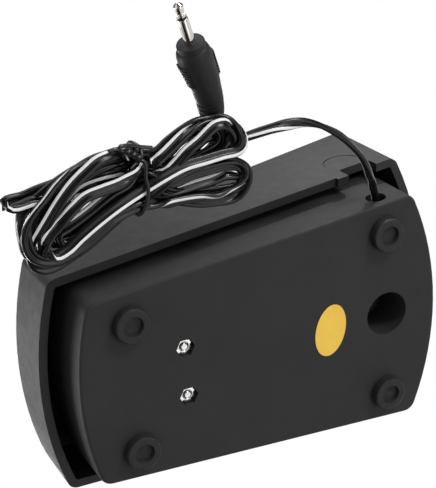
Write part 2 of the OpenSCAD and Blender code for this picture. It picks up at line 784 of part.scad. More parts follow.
// M3 nut with chamfered corners, seated in its pocket
module clamp_nut(side) {
    color("#d6d8da") translate([-clamp_x, side * clamp_pitch / 2, nut_z]) difference() {
        intersection() {
            hexagon(nut_af, nut_t);
            rotate_extrude() polygon([
                [0, 0], [nut_af / 2 - 0.05, 0], [nut_af / 2 + 0.5, 0.4], [nut_af / 2 + 0.5, nut_t], [0, nut_t]]);
        }
        translate([0, 0, -slack]) cylinder(d = m3_d, h = nut_t + 2 * slack);
    }
}

// ---------- cord ----------

// Overhand knot inside the wall that keeps the cord from pulling out
module cord_knot() {
    color("#1c1c1e") translate([cord_hole_x, knot_y, knot_z]) sphere(d = knot_d);
}

// Inner wires from the knot along the long wall to the tails of the two leaves
function wire_lane(u, side) =
    let (x = cord_hole_x + (tail_x - cord_hole_x) * u)
    [x, base_t - base_half(x) + wire_inset + wire_drift * u + 2 * side, floor_z + wire_rise];

module wire(side, z, drop) {
    r = wire_d / 2;
    end = [tail_x + 2 + side, -leaf_w / 4, z - r];
    color(side > 0 ? "#202022" : "#e8e8e6") tube(concat(
        [[cord_hole_x - knot_d / 4, knot_y + 1.5 + side * 0.8, knot_z]],
        [for (u = [0.14, 0.35, 0.56, 0.77, 0.94]) wire_lane(u, side)],
        [[tail_x - 1 - side, -leaf_w * 1.5 + side, z - 3 - drop], [end.x - 0.2, end.y - 3, end.z - 0.2], end]), r, r);
}

module cord_lead() {
    color("#1c1c1e") tube(lead_route, cord_w / 2, cord_t / 2);
}

function lobe(mid, a, b, turn, n) =
    [for (i = [0 : n - 1]) let (t = 360 * i / n)
        [mid.x + a * cos(t) * cos(turn) - b * sin(t) * sin(turn),
         mid.y + a * cos(t) * sin(turn) + b * sin(t) * cos(turn)]];

// Folded cord, pinched at its waist: one solid of its outer shape
module cord_hank() {
    turn = -14;
    color("#1c1c1e") {
        linear_extrude(hank_h) polygon(lobe(lobe_far, far_lobe_l, far_lobe_w, turn + 30, 24));
        linear_extrude(hank_h) polygon(lobe(lobe_near, near_lobe_l, near_lobe_w, turn - 4, 24));
        translate([waist.x, waist.y, waist_d]) rotate([0, 0, turn])
            translate([-waist_half, -waist_half, 0]) cube([2 * waist_half, 2 * waist_half, hank_h - 2 * waist_d]);
    }
}

// Wire tie round the waist, with two twisted ends
module twist_tie() {
    turn = -14;
    color("#202022") translate([waist.x, waist.y, 0]) rotate([0, 0, turn]) {
        difference() {
            translate([-tie_w / 2, -waist_half - waist_d, 0]) cube([tie_w, 2 * (waist_half + waist_d), hank_h]);
            translate([-tie_w, -waist_half, waist_d]) cube([2 * tie_w, 2 * waist_half, hank_h - 2 * waist_d]);
        }
        translate([1 - waist_half, -waist_half - waist_d - tie_w, hank_h / 2])
            cube([waist_half - 1 + tie_w / 2, tie_w, tie_w]);
    }
}

// Short length of cord between the hank and the plug
module plug_lead() {
    color("#1c1c1e") tube(plug_lead_route, cord_w / 2, cord_t / 2);
}

// ---------- plug ----------

// Plug's own frame: origin in its face, +X towards the tip of the jack
module at_plug() {
    translate(plug_face) rotate([0, plug_pitch, plug_yaw]) rotate([0, 90, 0]) children();
}

// Ribbed neck behind the plug body
module plug_relief() {
    n = 3;
    pitch = relief_l / n;
    small = relief_d / 2 - 0.7;
    color("#1e1e20") at_plug() translate([0, 0, -plug_l - relief_l]) rotate_extrude() polygon(concat(
        [[0, 0]],
        [for (i = [0 : n - 1]) each [
            [small, i * pitch], [relief_d / 2, i * pitch + 0.3],
            [relief_d / 2, i * pitch + pitch * 0.6], [small, i * pitch + pitch * 0.8]]],
        [[small, relief_l], [0, relief_l]]));
}

// Moulded body: round nose, swelling shoulder, tapered back, two ridged
// grip flanks
module plug_body() {
    ridge_pitch = plug_l / 2 / plug_ridges;
    color("#1e1e20") at_plug() rotate([0, 0, flank_turn]) union() {
        rotate_extrude() polygon([
            [0, 0], [plug_nose_d / 2 - 0.3, 0], [plug_nose_d / 2, -0.3], [plug_nose_d / 2, -1.8],
            [plug_nose_d / 2 + 0.3, -2.2], [plug_d / 2 - 0.6, -3.4], [plug_d / 2 - 0.1, -4.6],
            [plug_d / 2, -6.2], [plug_d / 2 - 0.1, -9], [plug_d / 2 - 0.5, -12.5],
            [plug_back_d / 2 + 0.3, -plug_l + 2.4], [plug_back_d / 2, -plug_l], [0, -plug_l]]);
        for (side = [-1, 1]) rotate([0, 90, 0]) linear_extrude(flank_t, center = true) polygon([
            [3, side * plug_nose_d / 4], [4.6, side * (plug_w / 2 - 0.9)], [6, side * (plug_w / 2 - 0.4)],
            [5 + plug_l / 2, side * (plug_w / 2 - 0.4)], [5.6 + plug_l / 2, side * (plug_w / 2 - 1)],
            [plug_l - 1, side * plug_back_d / 4]]);
        for (side = [-1, 1]) for (i = [0 : plug_ridges - 1])
            translate([-flank_t * 0.4, side * (plug_w / 2 - 0.7) - 0.7, -5 - i * ridge_pitch - ridge_pitch / 2])
                cube([flank_t * 0.8, 1.4, ridge_pitch / 2]);
    }
}

module jack_sleeve() {
    color("#d8d8da") at_plug() cylinder(d = jack_d, h = jack_l - jack_tip_l - jack_ring_l);
}

module jack_ring() {
    color("#1a1a1a") at_plug() translate([0, 0, jack_l - jack_tip_l - jack_ring_l])
        cylinder(d = jack_d - 2 * jack_step, h = jack_ring_l);
}

// Tip with its retaining waist and blunt point
module jack_tip() {
    r = jack_d / 2 - jack_step;
    color("#d8d8da") at_plug() translate([0, 0, jack_l - jack_tip_l]) rotate_extrude() polygon([
        [0, 0], [r, 0], [r, 0.7], [r - 0.45, jack_tip_l * 0.32], [r - 0.4, jack_tip_l * 0.5],
        [r, jack_tip_l * 0.66], [r, jack_tip_l * 0.76], [0.5, jack_tip_l], [0, jack_tip_l]]);
}

base_housing();
treadle_shell();
hinge_pin();
return_spring();
stop_screw();
stop_washer();
insulator_lower();
leaf_fixed();
insulator_spacer();
leaf_root();
leaf_moving();
clamp_plate();
clamp_screw(-1);  // clamp_screw_a
clamp_screw(1);  // clamp_screw_b
clamp_nut(-1);  // clamp_nut_a
clamp_nut(1);  // clamp_nut_b
rivet_fixed();
rivet_moving();
foot(-foot_x, 1);  // foot_hinge_left
foot(-foot_x, -1);  // foot_hinge_right
foot(foot_x, 1);  // foot_cord_left
foot(foot_x, -1);  // foot_cord_right
cord_knot();
wire(-1, leaf_fixed_z, 1);  // wire_a
wire(1, leaf_root_z, 0);  // wire_b
cord_lead();
cord_hank();
twist_tie();
plug_lead();
plug_relief();
plug_body();
jack_sleeve();
jack_ring();
jack_tip();
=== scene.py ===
import math

import bpy
from mathutils import Matrix, Vector


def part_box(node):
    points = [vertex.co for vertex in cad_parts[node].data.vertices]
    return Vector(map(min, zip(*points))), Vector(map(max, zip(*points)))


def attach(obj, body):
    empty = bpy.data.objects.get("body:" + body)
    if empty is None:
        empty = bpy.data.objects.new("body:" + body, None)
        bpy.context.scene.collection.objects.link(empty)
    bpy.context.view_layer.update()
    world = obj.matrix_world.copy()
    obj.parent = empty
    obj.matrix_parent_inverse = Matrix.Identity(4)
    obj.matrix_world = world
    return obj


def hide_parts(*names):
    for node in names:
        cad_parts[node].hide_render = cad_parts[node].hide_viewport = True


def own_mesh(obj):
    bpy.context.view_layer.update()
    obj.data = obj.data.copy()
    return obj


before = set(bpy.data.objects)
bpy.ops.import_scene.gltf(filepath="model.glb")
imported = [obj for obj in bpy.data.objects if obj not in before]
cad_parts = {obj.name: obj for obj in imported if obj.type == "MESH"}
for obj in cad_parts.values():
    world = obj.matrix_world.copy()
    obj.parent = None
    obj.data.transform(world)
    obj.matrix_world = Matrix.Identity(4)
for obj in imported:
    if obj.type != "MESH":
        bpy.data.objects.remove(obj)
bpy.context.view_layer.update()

scene = bpy.context.scene
MM = 0.001


# ---------------------------------------------------------------- camera
# A low three-quarter view from under the pedal's narrow end, as when the
# pedal is held up to look at its feet, its screws and its cord.
CAMERA_AT = Vector((-189.95, -221.54, -360.12))
CAMERA_RIGHT = Vector((0.88935, 0.05468, -0.45395))
CAMERA_UP = Vector((0.22907, -0.91252, 0.33886))
CAMERA_BACK = Vector((-0.39571, -0.40535, -0.82408))

camera_data = bpy.data.cameras.new("camera")
camera_data.lens = 101.69
camera_data.sensor_width = 36
camera_data.clip_start = 0.02
camera_data.clip_end = 20
camera = bpy.data.objects.new("camera", camera_data)
scene.collection.objects.link(camera)
camera_turn = Matrix((CAMERA_RIGHT, CAMERA_UP, CAMERA_BACK)).transposed().to_4x4()
camera.matrix_world = Matrix.Translation(CAMERA_AT * MM) @ camera_turn
scene.camera = camera


# ------------------------------------------------------------------ cord
# A flat twin lead of extruded soft PVC, with a white stripe printed along one
# core.  It leaves the round hole in the pedal's long side, drops to the floor
# and is folded to and fro into a hank that ends at the plug.
CORD_W, CORD_T = 3.8, 1.9
CORD_STEP = 1.25                   # between two rings of its mesh

# Points are x, y, z in mm and the roll in degrees: 0 has the striped face
# down, 90 to the right as the cord runs, 180 up.
LEAD = [(48.5, -37, 9.8, 450), (48.5, -40.5, 9.8, 450), (48, -43.5, 9.7, 450), (47, -46, 9.2, 450),
        (46, -49, 8.1, 450), (44, -52, 6.5, 450), (42, -55.5, 4.6, 452), (39.5, -59.5, 3, 457),
        (36.5, -63.5, 2.3, 464), (33.5, -67, 2.1, 470), (30.5, -70, 2, 472), (27.5, -72.3, 2, 464),
        (22, -75.6, 1.95, 438), (16.5, -77.6, 1.85, 394), (11, -78.2, 1.7, 342), (6, -78, 1.95, 302),
        (0.5, -77, 3.3, 290), (-6, -75, 6, 268), (-14, -72.5, 8.6, 230), (-27, -71.5, 9.4, 180)]

# Where the cord crosses under the tie, in order: y and z
WAIST_X = -39.5
WAIST = [(-72.5, 10.4), (-64.5, 10.2), (-66.8, 8.4), (-62, 8.6), (-77.4, 4.6), (-62.2, 3), (-70.6, 6.8),
         (-70.9, 4.4), (-62.2, 5.5), (-78, 6.6), (-67.3, 2.9), (-74.5, 3), (-66, 4.9), (-77.8, 8.6),
         (-66.6, 6.7), (-74.2, 5.2), (-70.8, 8.7), (-63.6, 6.9), (-68.5, 11.6), (-75.3, 11)]

# The folds between two crossings: height, roll going out, in the fold and
# coming back, and the x, y of the points, with a z and a roll where they differ
FOLDS = [
    (9.8, 180, 60, 180, [(-51, -77), (-58, -75.5), (-64.5, -73), (-71, -69.5), (-76, -66.5), (-78, -62.5),
     (-78, -58), (-76.5, -52.5), (-73.5, -49), (-68.5, -47.5), (-61, -49.5), (-50, -56)]),
    (6.6, 180, 90, 180, [(-29.5, -69), (-20, -70), (-11.5, -69.5), (-6, -67.5), (-2.5, -64.5), (-2, -61),
     (-3.5, -58), (-7, -56), (-12, -56), (-19, -57), (-25, -59), (-31, -61.5)]),
    (7.9, -26, 70, 180, [(-43.5, -72.5), (-48, -73), (-52, -73), (-56.5, -72.5), (-59.5, -71.5),
     (-64, -68.5), (-69, -63.5), (-72.5, -58.5), (-75, -54.5), (-76, -51), (-75, -48.5), (-72.5, -47),
     (-69, -47), (-63.5, -49), (-57.5, -51.5), (-48.5, -57)]),
    (8.2, 180, 180, 180, [(-29, -68.5), (-19, -71), (-11, -72.5), (-7.5, -75), (-7, -78), (-8.5, -81),
     (-11.5, -82.5), (-15.5, -82.5), (-20, -82), (-25.5, -79.5), (-31, -76)]),
    (2.6, -180, -180, -180, [(-47, -79.5, 4.4), (-53, -78.5, 4.6), (-59.5, -77.5, 4.6),
     (-63.5, -76.5, 4.4, -125), (-67.5, -74.5, 3.8, -105), (-71.5, -71, 3.2, -105),
     (-75.5, -67.5, 2.8, -110), (-78, -63.5, 2.6, -140), (-78.5, -59), (-77, -54.5), (-73.5, -52),
     (-69, -51.5), (-65, -52.5), (-60, -54.5), (-55, -57.5), (-49.5, -60.5)]),
    (4.9, -34, -120, -180, [(-31.5, -60), (-26.5, -60), (-20, -59.5, 4.9, -40), (-14, -59, 4.9, -85),
     (-9, -59.5), (-5.5, -61.5), (-4, -63.5), (-5, -66), (-7.5, -67.5), (-10.5, -68), (-16.5, -68),
     (-23, -67.5), (-29, -66.5)]),
    (8, 180, 180, 180, [(-43, -75.5), (-48.5, -75.5), (-53.5, -74.5), (-59, -72), (-63.5, -67.5),
     (-67, -63), (-69.5, -58.5), (-69, -55.5), (-67, -54.5), (-62.5, -56.5), (-54.5, -60.5), (-48.5, -64),
     (-43, -66)]),
    (3.9, 26, 26, 180, [(-32, -70.5), (-28.5, -73, 3.2), (-25, -76.5, 2.2), (-20, -79.5, 2),
     (-16.5, -82, 2), (-14.5, -83, 2), (-11.5, -83, 2), (-9.5, -81, 2.4), (-8.5, -78, 3.2), (-9, -75),
     (-11.5, -73), (-17, -71.5), (-24, -70), (-31, -67.5)]),
    (6, 180, 180, 180, [(-48, -59), (-54, -55.5), (-59.5, -52.5), (-64, -50.5), (-69, -49.5),
     (-73.5, -51.5), (-75.5, -55.5), (-75, -59.5), (-72.5, -65.5), (-68, -70.5), (-63.5, -74), (-59, -77),
     (-53, -79), (-46, -79)]),
    (2.3, 180, 60, -26, [(-34, -77, 5.6), (-29, -79.5, 6), (-24, -82, 6), (-19.5, -83.5, 6),
     (-14.5, -83.5, 6), (-10.5, -83.5, 5.4), (-7.5, -82, 4.4), (-6, -80, 3.4), (-5, -77, 2.6),
     (-5.5, -74.5), (-8, -73), (-12, -73), (-19, -72.5), (-26, -72), (-33, -70)]),
    (2, -26, -180, -334, [(-49, -64), (-56, -60.5), (-62, -57), (-66.5, -54, 2, -30), (-70.5, -53, 2, -50),
     (-73, -54.5, 2, -180), (-73, -57.5, 2, -310), (-71, -60.5, 2, -334), (-67, -63.5), (-63, -67),
     (-59, -69.5), (-53.5, -70.5), (-47, -71.5)]),
    (4.4, 26, 120, 180, [(-36, -74.5, 3.4), (-33, -76.5, 3), (-30, -78.5, 3), (-26, -81, 3.2, 40),
     (-21, -83, 4, 90), (-17, -83.5, 4.6, 120), (-13, -83.5, 4.8), (-9.5, -82.5), (-7.5, -79.5),
     (-7, -76.5), (-8.5, -74), (-12, -72.5), (-18.5, -71.5), (-29, -68.5)]),
    (4.2, 180, 26, 26, [(-49, -60), (-55, -57), (-60.5, -54), (-66, -52), (-70.5, -52), (-73.5, -54),
     (-75, -57.5, 4), (-73.5, -61, 3.4), (-71.5, -64, 2.8), (-67, -70, 2.2), (-62.5, -74.5, 2.1),
     (-57.5, -78, 2.1), (-54, -80, 2.2), (-48.5, -80.5, 3.2)]),
    (6.2, 180, 180, 180, [(-30, -76), (-25, -79), (-19.5, -81), (-15.5, -81.5), (-12, -80.5), (-10.5, -78),
     (-11.5, -75), (-14.5, -73.5), (-20, -72), (-30, -69.5)]),
    (4.3, 180, 60, 26, [(-43.5, -64.5), (-49.5, -62), (-56.5, -58.5), (-61.5, -56), (-65, -55),
     (-67.5, -56), (-68, -59), (-65.5, -60), (-58, -63.5), (-53.5, -66), (-49.5, -68), (-44, -70)]),
    (8.6, 180, 180, 180, [(-29.5, -68.5), (-24.5, -71.5), (-19.5, -74.5), (-15.5, -77), (-12.5, -77.5),
     (-10.5, -76), (-11, -73), (-14, -71.5), (-19, -70.5), (-26, -69)]),
    (6.3, 180, 180, 180, [(-42.5, -67.5), (-50, -65), (-56, -61.5), (-61, -58.5), (-63.5, -56.5),
     (-63, -54.5), (-60.5, -53.5), (-57, -55), (-52.5, -58), (-48, -61), (-42.5, -63)]),
    (6.9, 26, 90, 180, [(-31.5, -62.5), (-27, -62.5), (-20.5, -63), (-14, -63.5), (-10, -64), (-6.5, -63),
     (-4, -61.5), (-4.5, -59.5), (-8.5, -59), (-17, -60), (-24, -61), (-31, -63.5)]),
    (10.6, -26, -60, -180, [(-46, -69, 9.4), (-52, -69.5, 9.2), (-58, -69, 9.2), (-63.5, -68.5, 9.2),
     (-69.5, -68.5, 9.2), (-73, -69, 9.2), (-77, -68.5, 8.8), (-79.8, -68.5, 8.7), (-81.3, -69, 9.3),
     (-81.8, -69.5, 10.4), (-80.3, -70, 11.5), (-75.5, -70, 11.8), (-71, -71, 11.6), (-64, -72, 11.6),
     (-50, -75, 11.4)]),
]
TO_PLUG = [(-31, -71.5, 12, 180), (-20, -69.5, 12.6, 180), (-12, -71, 12.8, 180), (-8.6, -75.5, 12.8, 180),
           (-8.6, -80, 12.7, 180), (-9.8, -83.1, 12.3, 180), (-11.4, -87, 11.2, 180)]


def cord_line():
    """All the points that the cord passes through.
    Its roll is a fold's outward one for three tenths of the fold's points and its homeward one for the
    last three, and reaches the fold's own in the middle."""
    line = list(LEAD)
    line.append((WAIST_X, *WAIST[0], FOLDS[0][1]))
    for (z, out, fold, home, points), after in zip(FOLDS, WAIST[1:]):
        last = len(points) - 1
        for i, (x, y, *own) in enumerate(points):
            turn = 5 * i / last - 2.5
            roll = fold + (out - fold if turn < 0 else home - fold) * min(1, abs(turn))
            line.append((x, y, *own, *(z, roll)[len(own):]))
        line.append((WAIST_X, *after, home))
    return line + TO_PLUG


def smooth_line(points, step):
    """Centripetal Catmull-Rom spline through the points, sampled every step mm."""
    points = [Vector(p) for p in points]
    points = [2 * points[0] - points[1], *points, 2 * points[-1] - points[-2]]
    out = []
    for a, b, c, d in zip(points, points[1:], points[2:], points[3:]):
        times = [0.0]
        for p, q in ((a, b), (b, c), (c, d)):
            times.append(times[-1] + max((q - p).to_3d().length, 0.001) ** 0.5)
        t0, t1, t2, t3 = times
        n = max(2, math.ceil((c - b).to_3d().length / step))
        for i in range(n):
            t = t1 + (t2 - t1) * i / n
            ab = a.lerp(b, (t - t0) / (t1 - t0))
            bc = b.lerp(c, (t - t1) / (t2 - t1))
            cd = c.lerp(d, (t - t2) / (t3 - t2))
            abc = ab.lerp(bc, (t - t0) / (t2 - t0))
            bcd = bc.lerp(cd, (t - t1) / (t3 - t1))
            out.append(abc.lerp(bcd, (t - t1) / (t2 - t1)))
    out.append(points[-2])
    return out


def even_line(line, step):
    """The same line with points a step apart."""
    out, gone = [line[0]], 0.0
    for a, b in zip(line, line[1:]):
        long = (b - a).to_3d().length
        while gone + long >= step:
            a = a.lerp(b, (step - gone) / long)
            long = (b - a).to_3d().length
            out.append(a.copy())
            gone = 0.0
        gone += long
    if (line[-1] - out[-1]).to_3d().length > step / 3:
        out.append(line[-1])
    return out


def twin_section():
    """Outline of the twin cord, across and down in mm, round the striped core and then the other."""
    core = CORD_T / 2
    mid = CORD_W / 2 - core
    angles = [math.radians(a) for a in (40, 60, 80, *range(110, 321, 30))]
    striped = [(core * math.cos(a) - mid, core * math.sin(a)) for a in angles]
    return striped + [(-x, -y) for x, y in striped]


STRIPE_SIDES = (2, 3)              # the section's sides from 80 to 140 degrees


def piece(name, verts, faces, finish, smooth=True):
    """A mesh object in metres from points in millimetres."""
    mesh = bpy.data.meshes.new(name)
    mesh.from_pydata([tuple(c * MM for c in v) for v in verts], [], faces)
    mesh.validate()
    mesh.update()
    for made in finish if isinstance(finish, list) else [finish]:
        mesh.materials.append(made)
    if smooth:
        mesh.shade_smooth()
    made_object = bpy.data.objects.new(name, mesh)
    scene.collection.objects.link(made_object)
    return made_object


def second_finish(made, slots):
    """Give each face of a piece its own material slot."""
    for polygon, slot in zip(made.data.polygons, slots):
        polygon.material_index = slot


def sweep(name, line, section, finish, marks=(), level=True):
    """A cord with closed ends along a line of x, y, z, roll; marked sides take the second material.
    The roll counts from the level, or from wherever the line's own bends have turned the section."""
    n = len(section)
    verts, faces, slots = [], [], []
    side = Vector((0.8, 0.5, 0.3))
    for i, p in enumerate(line):
        ahead = (line[min(i + 1, len(line) - 1)] - line[max(i - 1, 0)]).to_3d().normalized()
        side = (Vector((0, 0, 1)).cross(ahead) if level else side - ahead * side.dot(ahead)).normalized()
        down = side.cross(ahead).normalized()
        roll = math.radians(p.w)
        across = side * math.cos(roll) + down * math.sin(roll)
        face = down * math.cos(roll) - side * math.sin(roll)
        verts += [p.to_3d() + across * u + face * v for u, v in section]
    for i in range(len(line) - 1):
        for k in range(n):
            j = (k + 1) % n
            faces.append((i * n + k, i * n + j, (i + 1) * n + j, (i + 1) * n + k))
            slots.append(1 if k in marks else 0)
    faces.append(tuple(range(n - 1, -1, -1)))
    faces.append(tuple(range((len(line) - 1) * n, len(line) * n)))
    made = piece(name, verts, faces, finish)
    second_finish(made, slots + [0, 0])
    return made


def colour(code):
    """Linear colour from an sRGB code."""
    parts = [int(code[i:i + 2], 16) / 255 for i in (1, 3, 5)]
    return [p / 12.92 if p <= 0.04045 else ((p + 0.055) / 1.055) ** 2.4 for p in parts] + [1.0]


def add(tree, kind, inputs=None, **settings):
    """A node with its settings, its values and its links."""
    node = tree.nodes.new(kind)
    for name, value in settings.items():
        setattr(node, name, value)
    for name, value in (inputs or {}).items():
        if isinstance(value, bpy.types.NodeSocket):
            tree.links.new(value, node.inputs[name])
        else:
            node.inputs[name].default_value = value
    return node


def surface(name, low, high, patch, detail=3, rough=None, grain=None, **uniform):
    """A material whose colour drifts between two sRGB codes over patches of a size in mm.
    rough is the size of its own patches and their two roughnesses; grain is a size, a depth and a detail."""
    made = bpy.data.materials.new(name)
    made.use_nodes = True
    tree = made.node_tree
    shader = tree.nodes["Principled BSDF"]
    for socket, value in uniform.items():
        shader.inputs[socket.replace("_", " ")].default_value = value
    place = add(tree, "ShaderNodeTexCoord")
    space = add(tree, "ShaderNodeMapping", {"Vector": place.outputs["Object"], "Scale": [1 / MM] * 3})
    sizes = {"colour": (patch, detail)}
    if rough:
        sizes["rough"] = (rough[0], 3)
    if grain:
        sizes["grain"] = (grain[0], grain[2])
    patterns = {}
    for use, (size, fine) in sizes.items():
        pattern = add(tree, "ShaderNodeTexNoise", {"Vector": space.outputs["Vector"], "Scale": 1 / size,
                                                   "Detail": fine, "Roughness": 0.55})
        patterns[use] = pattern.outputs["Fac"]
    drift = add(tree, "ShaderNodeMix", {0: patterns["colour"], 6: colour(low), 7: colour(high)},
                data_type="RGBA")
    tree.links.new(drift.outputs[2], shader.inputs["Base Color"])
    if rough:
        # most of the noise lies between 0.3 and 0.7
        worn = add(tree, "ShaderNodeMapRange", {"Value": patterns["rough"], "From Min": 0.3, "From Max": 0.7,
                                                "To Min": rough[1], "To Max": rough[2]})
        tree.links.new(worn.outputs["Result"], shader.inputs["Roughness"])
    if grain:
        raised = add(tree, "ShaderNodeBump", {"Height": patterns["grain"], "Strength": 1.0,
                                              "Distance": grain[1] * MM})
        tree.links.new(raised.outputs["Normal"], shader.inputs["Normal"])
    return made


# Extruded soft PVC: deep black with a bright shine that handling has dulled
# in places, on a skin that waves a little every 0.6 mm.  The stripe is ink,
# off-white and duller than the cord.
pvc = surface("extruded_black_pvc", "#0b0b0c", "#121213", 6, rough=(2.5, 0.18, 0.28), grain=(0.6, 0.02, 3),
              Specular_IOR_Level=0.3)
stripe = surface("printed_white_stripe", "#cbcbc9", "#e2e2e0", 3, grain=(0.6, 0.02, 3), Roughness=0.45)

route = even_line(smooth_line(cord_line(), 0.7), CORD_STEP)
cord = sweep("cord", route, twin_section(), [pvc, stripe], marks=STRIPE_SIDES)
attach(cord, "base")
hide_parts("cord_lead", "cord_hank", "plug_lead")


# ------------------------------------------------------------------- tie
# A short length of steel wire in a black PVC coat, wound once round the
# middle of the hank.  Its ends are twisted together on the outer side, where
# one is bent back over the twist.
TIE_D = 1.2
TWIST_START, TWIST_END = Vector((-40.4, -78, 1.4)), Vector((-45, -81.4, 2.2))
TWIST_TURNS = 1.5
TWIST_R = 0.52 * TIE_D


def twisted(phase):
    """One of two wires that wind round each other from the twist's start to its end."""
    along = (TWIST_END - TWIST_START).normalized()
    side = along.cross(Vector((0, 0, 1))).normalized()
    lift = side.cross(along)
    points = []
    for i in range(13):
        a = 2 * math.pi * TWIST_TURNS * i / 12 + phase
        middle = TWIST_START.lerp(TWIST_END, i / 12)
        points.append(middle + (side * math.cos(a) + lift * math.sin(a)) * TWIST_R)
    return points


# From the end that is bent back, through the twist, round the hank and
# through the twist again to the other end
TIE = [(-35.8, -80, 3), (-39, -80.9, 3), (-42.3, -82, 2.8), (-45, -82.8, 2.4), (-46.6, -82.8, 2.2),
       (-46.5, -82, 2.1), *reversed(twisted(0)), (-39.6, -77, 0.9), (-39.4, -74.5, 0.7),
       (-39.6, -71.7, 0.65), (-39.1, -67.7, 0.65), (-39.8, -63.6, 0.8), (-41.2, -60.4, 1.8),
       (-41.7, -58.9, 4.5), (-41.2, -59.2, 9), (-40.3, -62.2, 12.8), (-39.8, -70, 13.9), (-39.9, -77.6, 13),
       (-40, -80.1, 11), (-40, -80.9, 8.5), (-39.8, -81, 6), (-39.5, -80.6, 3.6), *twisted(math.pi),
       (-47.8, -82.3, 2.3), (-50.2, -82.1, 2.4)]


def round_wire(name, points, thick, finish, sides=10, step=0.5):
    """A round wire through points in mm."""
    line = even_line(smooth_line([(*p, 0) for p in points], step / 2), step)
    angles = [2 * math.pi * k / sides for k in range(sides)]
    ring = [(thick / 2 * math.cos(a), thick / 2 * math.sin(a)) for a in angles]
    return sweep(name, line, ring, [finish], level=False)


# Dip-coated PVC: black and evenly shiny
tie_pvc = surface("pvc_coated_tie_wire", "#0e0e0f", "#161617", 2, Roughness=0.3)
tie = round_wire("tie", TIE, TIE_D, tie_pvc)
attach(tie, "base")
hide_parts("twist_tie")


# ------------------------------------------------------------------ plug
# One PVC moulding shot round the jack: a flat nose disc, a round shoulder, a
# waisted grip with a ribbed pad on each flank and a shallow oval panel on the
# front, and soft rings where the cord comes in.
FACE = Vector((-19.85, -109.6, 5.15))           # middle of the nose, where the jack comes out
TO_TIP = Vector((-0.3398, -0.9089, -0.2419))
LOCAL_X = Vector((0.0847, 0.2266, -0.9703))
LOCAL_Y = Vector((0.9367, -0.3502, 0))
FRONT = -20                        # degrees from local X to where the front half width is measured
PANEL_TURN = 2                     # degrees from local X to the middle of the panel
# Distance behind the face, then half width to one flank, to the other and to the front
PLUG_FORM = [(0, 4.1, 4.1, 4.1), (0.12, 4.35, 4.35, 4.3), (0.4, 4.5, 4.5, 4.45), (1.9, 4.55, 4.55, 4.5),
             (2, 4.4, 4.45, 4.4), (2.2, 4.4, 4.45, 4.4), (2.4, 4.7, 4.75, 4.6), (3.2, 5.1, 5.25, 4.9),
             (4.3, 5.4, 5.5, 5.15), (5.6, 5.5, 5.55, 5.25), (7, 5.5, 5.45, 5.2), (9, 5.5, 5.15, 5.1),
             (11, 5.5, 4.85, 5), (13, 5.5, 4.6, 4.85), (15, 5.4, 4.4, 4.7), (17, 5.2, 4.3, 4.6),
             (19, 5, 4.25, 4.5), (21, 4.85, 4.2, 4.4), (22.2, 4.7, 4.15, 4.3), (22.35, 4.4, 3.8, 4),
             (22.8, 4.4, 3.8, 4), (22.95, 4.65, 4.2, 4.35), (23.9, 4.5, 4.25, 4.3),
             (24.05, 4.15, 3.85, 3.95), (24.5, 4.1, 3.85, 3.95), (24.65, 4.35, 4.3, 4.3),
             (25.6, 4.2, 4.35, 4.25), (25.75, 3.85, 4, 3.9), (26.2, 3.8, 4, 3.9), (26.35, 4.05, 4.35, 4.2),
             (27.4, 3.85, 4.4, 4.1), (27.55, 3.5, 4, 3.75), (28, 3.45, 4, 3.7), (28.15, 3.65, 4.3, 4),
             (29, 3.4, 4.1, 3.8), (29.3, 3, 3.7, 3.4)]
PANEL_S, PANEL_L, PANEL_W, PANEL_DEEP = 12.8, 4.4, 2.3, 0.07    # middle, half length, half width, depth
# Pads and ribs: distances behind the face, half angle and height over the grip's skin
PAD_START, PAD_END, PAD_ANGLE, PAD_H = 5.9, 15.1, 25, 0.16
RIBS, RIB_START, RIB_PITCH, RIB_W, RIB_ANGLE, RIB_H = 8, 6.1, 1.12, 0.62, 23, 0.6
RIB_BEVEL = 0.12


def plug_half(s):
    """Half widths of the moulding at a distance behind its face."""
    for (s0, *low), (s1, *high) in zip(PLUG_FORM, PLUG_FORM[1:]):
        if s <= s1:
            t = (s - s0) / (s1 - s0)
            return [a + (b - a) * t for a, b in zip(low, high)]
    return PLUG_FORM[-1][1:]


def plug_point(s, degrees, lift=0.0):
    """A point on the moulding's skin, at an angle from the middle of the front panel."""
    flank, other, front = plug_half(s)
    middle, half = (flank - other) / 2, (flank + other) / 2
    a = math.radians(degrees + PANEL_TURN - FRONT)
    # u points to the first flank, v to the front
    u, v = math.sin(a), math.cos(a)
    power = 2.25 if s > 2 else 2    # the grip is a little squared, the nose is round
    reach = (abs(u / half) ** power + abs(v / front) ** power) ** (-1 / power) + lift
    forward, sideways = math.radians(FRONT), math.radians(FRONT + 90)
    x = math.cos(forward) * v * reach + math.cos(sideways) * (u * reach + middle)
    y = math.sin(forward) * v * reach + math.sin(sideways) * (u * reach + middle)
    return FACE - TO_TIP * s + LOCAL_X * x + LOCAL_Y * y


